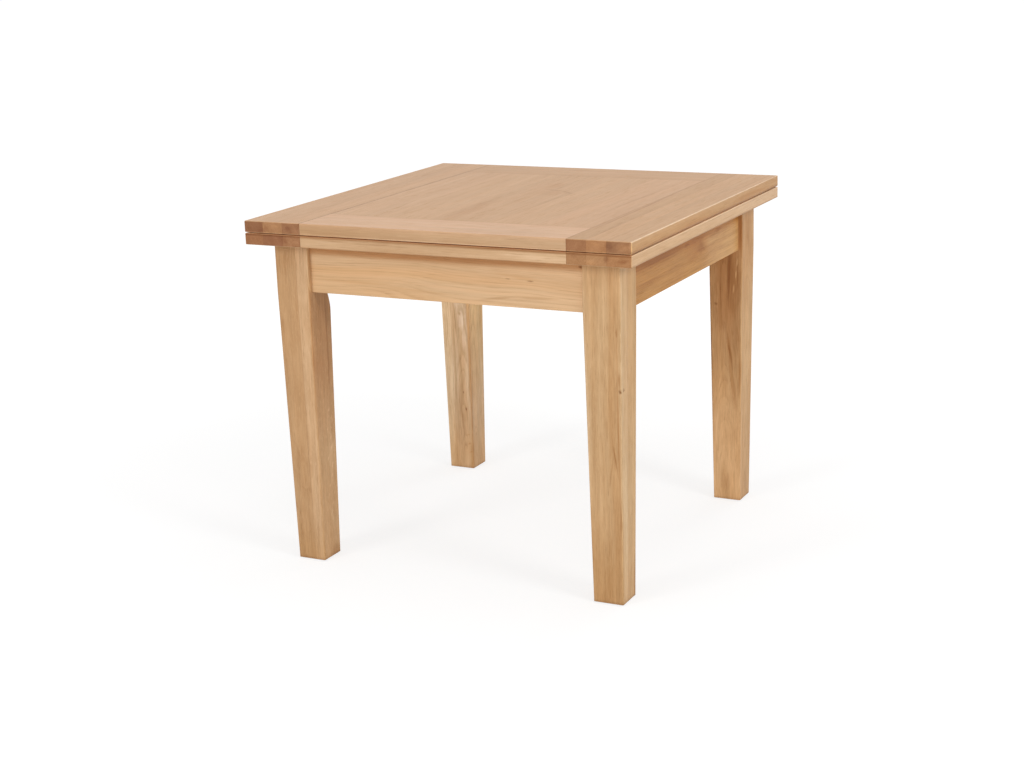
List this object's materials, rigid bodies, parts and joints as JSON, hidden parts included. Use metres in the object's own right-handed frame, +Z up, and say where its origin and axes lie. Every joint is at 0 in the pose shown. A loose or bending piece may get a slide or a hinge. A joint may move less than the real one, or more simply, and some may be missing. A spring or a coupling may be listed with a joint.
{
  "type": "swivel extending table",
  "caption": "Square wooden dining table with a folded double top that swivels a quarter turn on its frame and opens out flat to twice its length.",
  "frame": {"origin": "on the floor under the middle of the closed table", "axes": "+X to the right along the front edge, +Y to the back, +Z up"},
  "size_m": [0.9, 0.9038, 0.78],
  "materials": {
    "oak_top": "satin oiled oak",
    "oak_frame": "satin oiled oak",
    "zinc_steel": "bright zinc plated",
    "brass": "satin",
    "nylon": "natural nylon",
    "felt": "brown felt"
  },
  "bodies": {
    "frame": {"apron_back": "oak_frame", "apron_front": "oak_frame", "apron_left": "oak_frame", "apron_right": "oak_frame", "base_plate_screws": "zinc_steel", "bracket_screws": "zinc_steel", "corner_brackets": "zinc_steel", "foot_glides": "nylon", "hanger_bolts": "zinc_steel", "hanger_nuts": "zinc_steel", "hanger_washers": "zinc_steel", "leg_back_left": "oak_frame", "leg_back_right": "oak_frame", "leg_front_left": "oak_frame", "leg_front_right": "oak_frame", "leg_top_glides": "felt", "pivot_board": "oak_frame", "swivel_base_plate": "zinc_steel", "swivel_bearing_ring": "nylon"},
    "lower_leaf": {"hinge_lower_1": "brass", "hinge_lower_2": "brass", "hinge_lower_3": "brass", "hinge_pins": "brass", "hinge_screws_lower": "brass", "leaf_bumpers": "felt", "lower_board_1": "oak_top", "lower_board_2": "oak_top", "lower_board_3": "oak_top", "lower_board_4": "oak_top", "lower_board_5": "oak_top", "lower_rail_back": "oak_top", "lower_rail_front": "oak_top", "lower_stile_left": "oak_top", "lower_stile_right": "oak_top", "pivot_bolt": "zinc_steel", "pivot_lock_nut": "zinc_steel", "pivot_washer": "zinc_steel", "swivel_stop_pin": "zinc_steel", "swivel_turn_plate": "zinc_steel", "turn_plate_screws": "zinc_steel"},
    "upper_leaf": {"hinge_screws_upper": "brass", "hinge_upper_1": "brass", "hinge_upper_2": "brass", "hinge_upper_3": "brass", "upper_board_1": "oak_top", "upper_board_2": "oak_top", "upper_board_3": "oak_top", "upper_board_4": "oak_top", "upper_board_5": "oak_top", "upper_rail_back": "oak_top", "upper_rail_front": "oak_top", "upper_stile_left": "oak_top", "upper_stile_right": "oak_top"}
  },
  "joints": [
    {"name": "top_swivel", "type": "hinge", "parent": "frame", "child": "lower_leaf", "pos_m": [0.2255, 0.2255, 0.725], "axis": [0, 0, 1], "range_deg": [0, 90]},
    {"name": "leaf_flip", "type": "hinge", "parent": "lower_leaf", "child": "upper_leaf", "pos_m": [0, 0.451, 0.754], "axis": [-1, 0, 0], "range_deg": [0, 180]}
  ]
}
